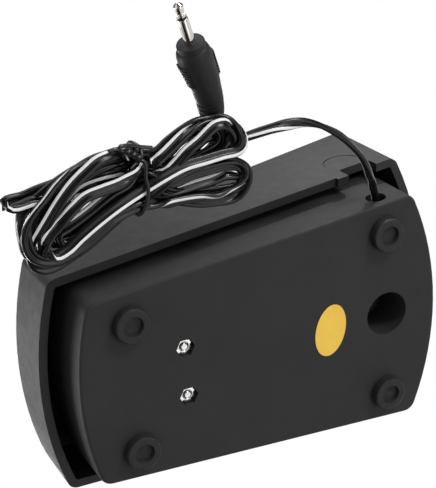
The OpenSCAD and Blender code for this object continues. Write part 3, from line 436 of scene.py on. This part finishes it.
def plug_mesh():
    """The moulding, with its ribbed pads standing out of it."""
    around = 120
    stations = []
    for (s0, *_), (s1, *_) in zip(PLUG_FORM, PLUG_FORM[1:]):
        n = max(1, round((s1 - s0) / 0.3))
        stations += [s0 + (s1 - s0) * i / n for i in range(n)]
    stations.append(PLUG_FORM[-1][0])
    verts, faces = [], []
    for s in stations:
        for k in range(around):
            angle = 360 * k / around - 180
            across = math.radians(angle) * 5            # mm round a grip of about 5 mm radius
            inside = 1 - math.hypot((s - PANEL_S) / PANEL_L, across / PANEL_W)
            verts.append(plug_point(s, angle, -PANEL_DEEP * min(1, max(0, inside * 6))))
    for i in range(len(stations) - 1):
        for k in range(around):
            j = (k + 1) % around
            faces.append((i * around + k, (i + 1) * around + k, (i + 1) * around + j, i * around + j))
    faces.append(tuple(range(around)))
    faces.append(tuple(range(len(stations) * around - 1, (len(stations) - 1) * around - 1, -1)))

    def block(s0, s1, half_angle, flank, low, high):
        """A bar that follows the skin on one flank, from low to high above it."""
        columns = 9
        base = len(verts)
        for lift, inset in ((low, 0), (high - RIB_BEVEL, 0), (high, RIB_BEVEL)):
            for s in (s0 + inset, s1 - inset):
                for c in range(columns):
                    turn = half_angle * (2 * c / (columns - 1) - 1) * (1 - inset / 6)
                    verts.append(plug_point(s, flank + turn, lift))
        for level in range(2):
            lower, upper = base + level * 2 * columns, base + (level + 1) * 2 * columns
            for row, flip in ((0, False), (columns, True)):
                for c in range(columns - 1):
                    quad = (lower + row + c, lower + row + c + 1, upper + row + c + 1, upper + row + c)
                    faces.append(quad[::-1] if flip else quad)
            for c, flip in ((0, True), (columns - 1, False)):
                quad = (lower + c, lower + columns + c, upper + columns + c, upper + c)
                faces.append(quad[::-1] if flip else quad)
        top = base + 4 * columns
        for c in range(columns - 1):
            faces.append((top + c, top + c + 1, top + columns + c + 1, top + columns + c))

    for flank in (-90, 90):
        block(PAD_START, PAD_END, PAD_ANGLE, flank, -0.6, PAD_H)
        for i in range(RIBS):
            start = RIB_START + RIB_PITCH * i
            block(start, start + RIB_W, RIB_ANGLE, flank, -0.3, RIB_H)
    return verts, faces


# Injection moulded PVC: greyer and duller than the cord, with the grain of its mould
moulded_pvc = surface("moulded_black_pvc", "#1c1c1d", "#242425", 4, rough=(1.8, 0.45, 0.6),
                      grain=(0.3, 0.02, 3), Specular_IOR_Level=0.2)
plug = piece("plug_moulding", *plug_mesh(), moulded_pvc)
plug.data.set_sharp_from_angle(angle=math.radians(38))
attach(plug, "base")
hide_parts("plug_body", "plug_relief")


# ------------------------------------------------------------------ jack
# A 3.5 mm jack turned from brass and nickel plated: a sleeve, a black
# insulating ring, and a tip with a neck and a point.  Distances run from the
# plug's face, each with a radius.
JACK = {
    "jack_sleeve": [(0, 1.6), (0, 1.75), (9, 1.75), (9.12, 1.7), (9.2, 1.62), (9.2, 1.2)],
    "jack_ring": [(9.2, 1.2), (9.2, 1.55), (10, 1.55), (10, 1.2)],
    "jack_tip": [(10, 1.2), (10, 1.45), (10.08, 1.53), (10.62, 1.55), (10.72, 1.48), (10.8, 1.22),
                 (11.15, 1.18), (11.3, 1.3), (11.6, 1.36), (12.4, 1.38), (13, 1.46), (13.35, 1.54),
                 (13.6, 1.55), (13.8, 1.5), (14.1, 1.28), (14.45, 0.92), (14.72, 0.6), (14.9, 0.35),
                 (14.98, 0.15)],
}


def lathe(name, origin, axis, profile, finish, around=72):
    """A turned piece: distance along the axis and radius, both in mm."""
    side = axis.orthogonal().normalized()
    other = axis.cross(side)
    verts, faces = [], []
    for along, radius in profile:
        for k in range(around):
            a = 2 * math.pi * k / around
            out = side * math.cos(a) + other * math.sin(a)
            verts.append(origin + axis * along + out * radius)
    for i in range(len(profile) - 1):
        for k in range(around):
            j = (k + 1) % around
            faces.append((i * around + k, i * around + j, (i + 1) * around + j, (i + 1) * around + k))
    faces.append(tuple(range(around - 1, -1, -1)))
    faces.append(tuple(range((len(profile) - 1) * around, len(profile) * around)))
    made = piece(name, verts, faces, finish)
    made.data.set_sharp_from_angle(angle=math.radians(32))
    return made


# Bright nickel over turned brass mirrors the room; the ring is a half-matt black plastic
nickel = surface("nickel_plated_brass", "#d6d1cc", "#e4e0dc", 3, rough=(1, 0.07, 0.12), Metallic=1.0)
ring_black = surface("black_insulating_ring", "#0e0e0e", "#151515", 1, Roughness=0.4)
for node, profile in JACK.items():
    ring = node == "jack_ring"
    turned = lathe(node + "_turned", FACE, TO_TIP.normalized(), profile, ring_black if ring else nickel)
    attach(turned, "base")
    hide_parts(node)


# -------------------------------------------------------- knot and wires
# The cord is tied in an overhand knot inside the wall, which takes the pull,
# and its two cores run on as thin single wires to the switch.
KNOT_WIRE = 2.1


def knot_line():
    """Overhand knot as a closed-up trefoil, in the CAD knot's box."""
    low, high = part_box("cord_knot")
    x, y, z = [(a + b) / 2 / MM for a, b in zip(low, high)]
    reach = ((high[0] - low[0]) / MM / 2 - KNOT_WIRE / 2 - 0.1) / 3
    points = []
    for i in range(61):
        t = 2 * math.pi * i / 60
        points.append((x + reach * (math.sin(t) + 2 * math.sin(2 * t)),
                       y - 1.5 * reach * math.sin(3 * t),
                       z + reach * (math.cos(t) - 2 * math.cos(2 * t))))
    return points


def dress(node, finish):
    """Give a CAD node's own object its finish."""
    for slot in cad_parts[node].material_slots:
        slot.link = "OBJECT"
        slot.material = finish


knot = round_wire("cord_knot_tied", knot_line(), KNOT_WIRE, pvc, sides=12, step=0.6)
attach(knot, "base")
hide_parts("cord_knot")

# Extruded insulation, smooth and half shiny, one black and one white
dress("wire_a", surface("black_wire_insulation", "#161617", "#1e1e20", 2, Roughness=0.4))
dress("wire_b", surface("white_wire_insulation", "#d8d8d4", "#e8e8e4", 2, Roughness=0.4))


# --------------------------------------------------------- return spring
# A compression spring of zinc-plated steel wire with a closed turn at each
# end.  It stands on the base's stop well, round the boss of the treadle, and
# pushes the treadle up.
SPRING_X, SPRING_Z0, SPRING_L = 48.5, 22, 18
SPRING_D, SPRING_WIRE, SPRING_TURNS = 13, 1.2, 5


def spring_line():
    """The coil's centre line, with one dead turn at each end."""
    points = []
    for i in range((SPRING_TURNS + 2) * 24 + 1):
        t = i / 24
        low, mid, high = min(t, 1), min(max(t - 1, 0), SPRING_TURNS), max(t - 1 - SPRING_TURNS, 0)
        pitch = (SPRING_L - 3 * SPRING_WIRE) / SPRING_TURNS
        z = SPRING_Z0 + SPRING_WIRE / 2 + (low + high) * SPRING_WIRE + mid * pitch
        a = 2 * math.pi * t
        points.append((SPRING_X + SPRING_D / 2 * math.cos(a), SPRING_D / 2 * math.sin(a), z))
    return points


def plated(name, low, high, rough):
    """Plated or rolled metal: clean colour, with a shine that is a little uneven."""
    return surface(name, low, high, 3, rough=(0.8, rough, rough + 0.12), Metallic=1.0)


spring_zinc = plated("zinc_plated_spring_wire", "#b4b8bc", "#c8ccd0", 0.25)
spring = round_wire("spring_coil", spring_line(), SPRING_WIRE, spring_zinc, step=0.8)
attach(spring, "base")
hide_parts("return_spring")
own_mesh(spring)


# -------------------------------------------------------- screws and pin
# Zinc-plated steel screws: one with a washer stops the treadle, and two M3
# ones clamp the switch, through the bottom plate.  The treadle turns on a
# ground steel pin.
CLAMPS = {"a": (-29.3, -9), "b": (-29.3, 9)}           # x and y of the two clamp screws
SCREW_END_Z, SCREW_L = 4.4, 18
THREAD_R, THREAD_ROOT, THREAD_STEP = 1.5, 1.28, 0.25

# Distances above a clamp screw's lower end, each with a radius
thread = [(i * THREAD_STEP, THREAD_R if i % 2 else THREAD_ROOT) for i in range(2, 46)]
head = [(16, THREAD_R), (16, 2.7), (16.1, 2.8), (17.2, 2.8), (17.7, 2.5), (SCREW_L, 1.9), (SCREW_L, 0.3)]
clamp_screw = [(0, 0.3), (0, 1.02), (0.08, 1.1), (0.42, 1.42), *thread, (11.6, THREAD_R), *head]

# Zinc is bright and faintly blue; the ground pin is plain steel, darker and duller
screw_zinc = plated("zinc_plated_screw", "#c4c6c8", "#d8dadc", 0.22)
dress("stop_screw", screw_zinc)
dress("stop_washer", screw_zinc)
for letter, (x, y) in CLAMPS.items():
    screw = lathe(f"clamp_screw_{letter}_threaded", Vector((x, y, SCREW_END_Z)), Vector((0, 0, 1)),
                  clamp_screw, screw_zinc, around=48)
    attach(screw, "base")
    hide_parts(f"clamp_screw_{letter}")
dress("hinge_pin", plated("ground_steel_pin", "#a8abae", "#bcbfc2", 0.28))


# ------------------------------------------------------------------ nuts
# Two M3 nuts, cut from hexagon bar and nickel plated, on the clamp screws.
# They sit in hexagonal pockets in the bottom plate and show their chamfered
# faces and the start of their thread.
NUT_Z, NUT_FLATS, NUT_L = 4.9, 5.5, 2.4
NUT_FACE_R = NUT_FLATS / 2 + 0.18
NUT_CREST, NUT_ROOT, NUT_PITCH = 1.36, 1.52, 0.24
NUT_SINK_R, NUT_SINK_DEEP = 1.82, 0.32


def nut_mesh(x, y):
    """Hexagon nut with chamfered corners and a countersunk threaded hole, face down."""
    verts, faces, rings = [], [], []
    around = 72

    def hexagon_reach(a, grow=0.0):
        """Distance from the middle to the hexagon's side at an angle."""
        return (NUT_FLATS / 2 + grow) / math.cos((a % (math.pi / 3)) - math.pi / 6)

    def ring(depth, reach):
        """A ring of points at a depth into the nut, with its reach at each angle."""
        rings.append([len(verts) + k for k in range(around)])
        for k in range(around):
            a = 2 * math.pi * k / around
            r = reach(a)
            deep = depth(r) if callable(depth) else depth
            verts.append((x + r * math.cos(a), y + r * math.sin(a), NUT_Z + deep))

    # thread: rings from the bore's far end down to the countersink
    for i in range(14):
        ring(NUT_L - 0.45 - i * NUT_PITCH / 2, lambda a, i=i: NUT_CREST if i % 2 else NUT_ROOT)
    ring(NUT_SINK_DEEP, lambda a: THREAD_R)
    ring(0, lambda a: NUT_SINK_R)
    # the face is whole but for its corners, which a cone cuts back
    ring(0, lambda a: min(hexagon_reach(a, -0.03), NUT_FACE_R))
    ring(lambda r: max(0.02, (r - NUT_FACE_R) * 0.55), hexagon_reach)
    ring(NUT_L - 0.2, hexagon_reach)
    ring(NUT_L, lambda a: hexagon_reach(a, -0.12))
    ring(NUT_L, lambda a: NUT_ROOT)
    rings.append(rings[0])
    for low, high in zip(rings, rings[1:]):
        for k in range(around):
            j = (k + 1) % around
            faces.append((low[k], high[k], high[j], low[j]))
    return verts, faces


# Nickel is warmer than zinc and shinier
nut_nickel = plated("nickel_plated_nut", "#cfcdc9", "#e0deda", 0.18)
for letter, (x, y) in CLAMPS.items():
    nut = piece(f"clamp_nut_{letter}_threaded", *nut_mesh(x, y), nut_nickel)
    nut.data.set_sharp_from_angle(angle=math.radians(30))
    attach(nut, "base")
    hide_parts(f"clamp_nut_{letter}")


# ----------------------------------------------------------- leaf switch
# Leaves of rolled phosphor bronze with riveted silver contacts, clamped
# between punched plates of paper phenolic.

# Phenolic is brown with a fine fleck and half matt.  The bronze is golden and
# the silver pale, both with a soft shine.
phenolic = surface("paper_phenolic", "#6e4526", "#8a5a34", 1.5, detail=5, Roughness=0.5)
leaf_bronze = plated("rolled_phosphor_bronze", "#b98a45", "#cf9f55", 0.3)
contact_silver = plated("contact_silver", "#cccccb", "#dededc", 0.3)
for finish, nodes in ((phenolic, ("insulator_lower", "insulator_spacer", "clamp_plate")),
                      (leaf_bronze, ("leaf_fixed", "leaf_root", "leaf_moving")),
                      (contact_silver, ("rivet_fixed", "rivet_moving"))):
    for node in nodes:
        dress(node, finish)


# ------------------------------------------------------------------ feet
# Four round feet of moulded black rubber with a dimple, each held in the
# bottom plate by its own peg.

# Moulded rubber: matt in uneven patches, with a pebbled skin.  The pebble is
# drawn at 0.25 mm, as a finer one would not show.
rubber = surface("black_foot_rubber", "#161616", "#202020", 3, detail=4, rough=(2, 0.55, 0.75),
                 grain=(0.25, 0.04, 4), Specular_IOR_Level=0.35)
for node in ("foot_hinge_left", "foot_hinge_right", "foot_cord_left", "foot_cord_right"):
    dress(node, rubber)


# --------------------------------------------------------------- sticker
# An oval label of metal foil on the underside, gold inside a thin dark
# printed border, stuck down by its own adhesive.  It is left bare.
STICKER_AT = Vector((25.6, 0.15, 3.4))
STICKER_A, STICKER_B, STICKER_T, STICKER_BORDER = 9.9, 6.25, 0.08, 0.25
STICKER_ALONG = Vector((0.19, -0.98, 0)).normalized()


def sticker_mesh():
    """The label's edge, border and face, with the material slot of each face."""
    across = Vector((STICKER_ALONG.y, -STICKER_ALONG.x, 0))
    around = 96
    verts, faces, slots = [], [], []
    insets = [(0, 0, 0), (0, 0, STICKER_T)]
    insets += [(inset, inset, STICKER_T) for inset in (STICKER_BORDER, 5 * STICKER_BORDER)]
    insets.append((0.98 * STICKER_A, 0.98 * STICKER_B, STICKER_T))
    for inset_a, inset_b, drop in insets:
        for k in range(around):
            a = 2 * math.pi * k / around
            verts.append(STICKER_AT + STICKER_ALONG * (STICKER_A - inset_a) * math.cos(a)
                         + across * (STICKER_B - inset_b) * math.sin(a) - Vector((0, 0, drop)))
    for i in range(4):
        for k in range(around):
            j = (k + 1) % around
            faces.append((i * around + k, i * around + j, (i + 1) * around + j, (i + 1) * around + k))
            slots.append(1 if i < 2 else 0)
    faces.append(tuple(range(4 * around, 5 * around)))
    return verts, faces, slots + [0]


# Brushed gold foil under a clear film: soft metal sheen that drifts from
# orange to yellow.  The border is dark brown ink.
foil = surface("gold_foil_label", "#d9a646", "#e6c444", 8, rough=(1.5, 0.4, 0.5), Metallic=0.3)
ink = surface("printed_dark_ink", "#1c1608", "#281f0c", 1, Roughness=0.5)
verts, faces, slots = sticker_mesh()
sticker = piece("sticker", verts, faces, [foil, ink], smooth=False)
second_finish(sticker, slots)
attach(sticker, "base")


# ----------------------------------------------------- treadle and base
# Both are injection moulded in black ABS from spark-eroded moulds, which
# leave a pebbled skin.  The treadle turns over the base on the hinge pin.
# Painted shade: a face's colour is darkened towards near black where another face lies nearer than this
PAINTED_SHADE_REACH = 3.4                     # how near a face darkens the one opposite, less than base to floor
EDGE_R = 0.35
PEBBLE = 0.35                      # coarser than the moulds', which would not show


def moulded_abs(name, low, high, gloss):
    """Black ABS: matt and pebbled, with painted shade darkening its colour to near black deep in its gaps,
    and edges that catch a little light.
    """
    made = surface(name, low, high, 25, detail=2, rough=(4, 0.54, 0.64), grain=(PEBBLE, 0.05, 4),
                   Specular_IOR_Level=gloss)
    tree = made.node_tree
    shader = tree.nodes["Principled BSDF"]
    plain = shader.inputs["Base Color"].links[0].from_socket
    # painted shade: the colour is mixed towards near black where the Ambient Occlusion node finds another
    # face close
    painted_shade_ao = add(tree, "ShaderNodeAmbientOcclusion", {"Distance": PAINTED_SHADE_REACH * MM}, samples=8)
    shade = add(tree, "ShaderNodeMapRange", {"Value": painted_shade_ao.outputs["AO"], "From Min": 0.15, "From Max": 0.7})
    shaded = add(tree, "ShaderNodeMix", {0: shade.outputs["Result"], 6: colour("#050505"), 7: plain},
                 data_type="RGBA")
    tree.links.new(shaded.outputs[2], shader.inputs["Base Color"])
    soft_edge = add(tree, "ShaderNodeBevel", {"Radius": EDGE_R * MM}, samples=4)
    pebble = shader.inputs["Normal"].links[0].from_node
    tree.links.new(soft_edge.outputs["Normal"], pebble.inputs["Normal"])
    return made


# The treadle's black is darker than the base's as painted shade matched to its shaded rim, and it is the
# shinier of the two
dress("treadle_shell", moulded_abs("moulded_abs_treadle", "#151515", "#1b1b1b", 0.36))
dress("base_housing", moulded_abs("moulded_abs_base", "#262626", "#2d2d2d", 0.15))


# ----------------------------------------------------------------- floor
# A plain pale sheet of matt paper under the pedal.  Only the camera sees it
# and only from above, so light passes through it and the pedal can be looked
# at from below.  It fades out all round.
FLOOR_SIZE, FLOOR_FADE, FLOOR_END = 3.2, 0.35, 1.4     # metres

bpy.ops.mesh.primitive_plane_add(size=FLOOR_SIZE, location=(0, -0.03, -0.2 * MM))
floor = bpy.context.object
floor.name = "floor"
paper = bpy.data.materials.new("pale_studio_floor")
paper.use_nodes = True
tree = paper.node_tree
tree.nodes.clear()
ray = add(tree, "ShaderNodeLightPath")
geometry = add(tree, "ShaderNodeNewGeometry")
place = add(tree, "ShaderNodeTexCoord")
out = add(tree, "ShaderNodeVectorMath", {0: place.outputs["Object"]}, operation="LENGTH")
fade = add(tree, "ShaderNodeMapRange", {"Value": out.outputs["Value"], "From Min": FLOOR_FADE,
                                        "From Max": FLOOR_END, "To Min": 1.0, "To Max": 0.0},
           interpolation_type="SMOOTHSTEP")
front = add(tree, "ShaderNodeMath", {0: 1.0, 1: geometry.outputs["Backfacing"]}, operation="SUBTRACT")
seen = add(tree, "ShaderNodeMath", {0: front.outputs[0], 1: ray.outputs["Is Camera Ray"]},
           operation="MULTIPLY")
solid = add(tree, "ShaderNodeMath", {0: seen.outputs[0], 1: fade.outputs["Result"]}, operation="MULTIPLY")
clear = add(tree, "ShaderNodeBsdfTransparent")
pale = add(tree, "ShaderNodeBsdfDiffuse", {"Color": colour("#f1f1ee")})
mix = add(tree, "ShaderNodeMixShader", {0: solid.outputs[0], 1: clear.outputs[0], 2: pale.outputs[0]})
add(tree, "ShaderNodeOutputMaterial", {"Surface": mix.outputs[0]})
floor.data.materials.append(paper)


# ----------------------------------------------------------------- lamps
# Large weak lamps for each side that the pedal shows, and a narrow one along
# its long side.  The white surround below gives most of the light.
PEDAL_AT = (0, 0, 0.025)
LONG_SIDE_AT = (0.04, -0.045, 0.03)


def lamp(name, kind, place, watts, target, **settings):
    """A lamp of a kind that points at a target; its other settings go by their own names."""
    data = bpy.data.lights.new(name, kind)
    data.energy = watts
    for setting, value in settings.items():
        setattr(data, setting, value)
    made = bpy.data.objects.new(name, data)
    made.location = place
    made.rotation_euler = (Vector(target) - Vector(place)).to_track_quat("-Z", "Y").to_euler()
    scene.collection.objects.link(made)


lamp("under_lamp", "AREA", (0.3, -0.2, -1.0), 3, PEDAL_AT, shape="DISK", size=0.7)
lamp("end_lamp", "AREA", (-0.9, 0.3, 0.6), 8, PEDAL_AT, shape="DISK", size=0.5)
lamp("cord_lamp", "AREA", (0.35, -0.8, -0.45), 5, PEDAL_AT, shape="DISK", size=0.3)
lamp("top_lamp", "AREA", (0.25, 0.65, 1.2), 10, PEDAL_AT, shape="DISK", size=0.5)
lamp("far_lamp", "AREA", (0.9, 0.8, 0.4), 4, PEDAL_AT, shape="DISK", size=0.7)
lamp("side_lamp", "SPOT", (0.4, -0.6, 0.35), 20, LONG_SIDE_AT, shadow_soft_size=0.04,
     spot_size=math.radians(6.6), spot_blend=0.7)


# -------------------------------------------------------------- surround
# Plain white behind the pedal, a little less light from it on matt surfaces,
# and light panels with a dark slit for what shines.
PANEL_DARK, SLIT_DARK = 0.15, 0.02
MATT_ABOVE, MATT_BELOW = 0.35, 0.6
# Direction, the cosines where it starts and is full, and how bright it is
PANELS = [((0.4, -0.83, -0.4), 0.92, 0.97, 2.0), ((0.1, 0.95, 0.3), 0.25, 0.45, 0.85),
          ((-0.97, -0.21, -0.1), 0.82, 0.92, 0.85), ((0, -0.9, 0.42), 0.72, 0.88, 2.4),
          ((0.9, 0.3, -0.1), 0.7, 0.9, 0.85), ((0.4, 0.41, -0.82), 0.955, 0.985, 1.6)]

world = bpy.data.worlds.new("studio")
scene.world = world
world.use_nodes = True
tree = world.node_tree
tree.nodes.clear()
ray = add(tree, "ShaderNodeLightPath")
facing = add(tree, "ShaderNodeTexCoord").outputs["Generated"]


def toward(direction, start, end, low, high):
    """A number that goes from low to high as a ray turns towards a direction, between two cosines."""
    dot = add(tree, "ShaderNodeVectorMath", {0: facing, 1: Vector(direction).normalized()},
              operation="DOT_PRODUCT")
    return add(tree, "ShaderNodeMapRange", {"Value": dot.outputs["Value"], "From Min": start, "From Max": end,
                                            "To Min": low, "To Max": high},
               interpolation_type="SMOOTHSTEP").outputs["Result"]


shine = PANEL_DARK
for direction, start, end, bright in PANELS:
    panel = toward(direction, start, end, PANEL_DARK, bright)
    shine = add(tree, "ShaderNodeMath", {0: shine, 1: panel}, operation="MAXIMUM").outputs[0]
slit = toward((-0.28, 0.861, -0.425), 0.86, 0.93, 1.0, SLIT_DARK)
shine = add(tree, "ShaderNodeMath", {0: shine, 1: slit}, operation="MULTIPLY").outputs[0]
strength = toward((0, 0, -1), -0.5, 0.3, MATT_ABOVE, MATT_BELOW)
for kind, value in (("Is Glossy Ray", shine), ("Is Camera Ray", 1.0), ("Is Transmission Ray", 1.0)):
    strength = add(tree, "ShaderNodeMix", {0: ray.outputs[kind], 2: strength, 3: value},
                   data_type="FLOAT").outputs[0]
background = add(tree, "ShaderNodeBackground", {"Color": (1, 1, 1, 1), "Strength": strength})
add(tree, "ShaderNodeOutputWorld", {"Surface": background.outputs[0]})

scene.view_settings.view_transform = "Standard"
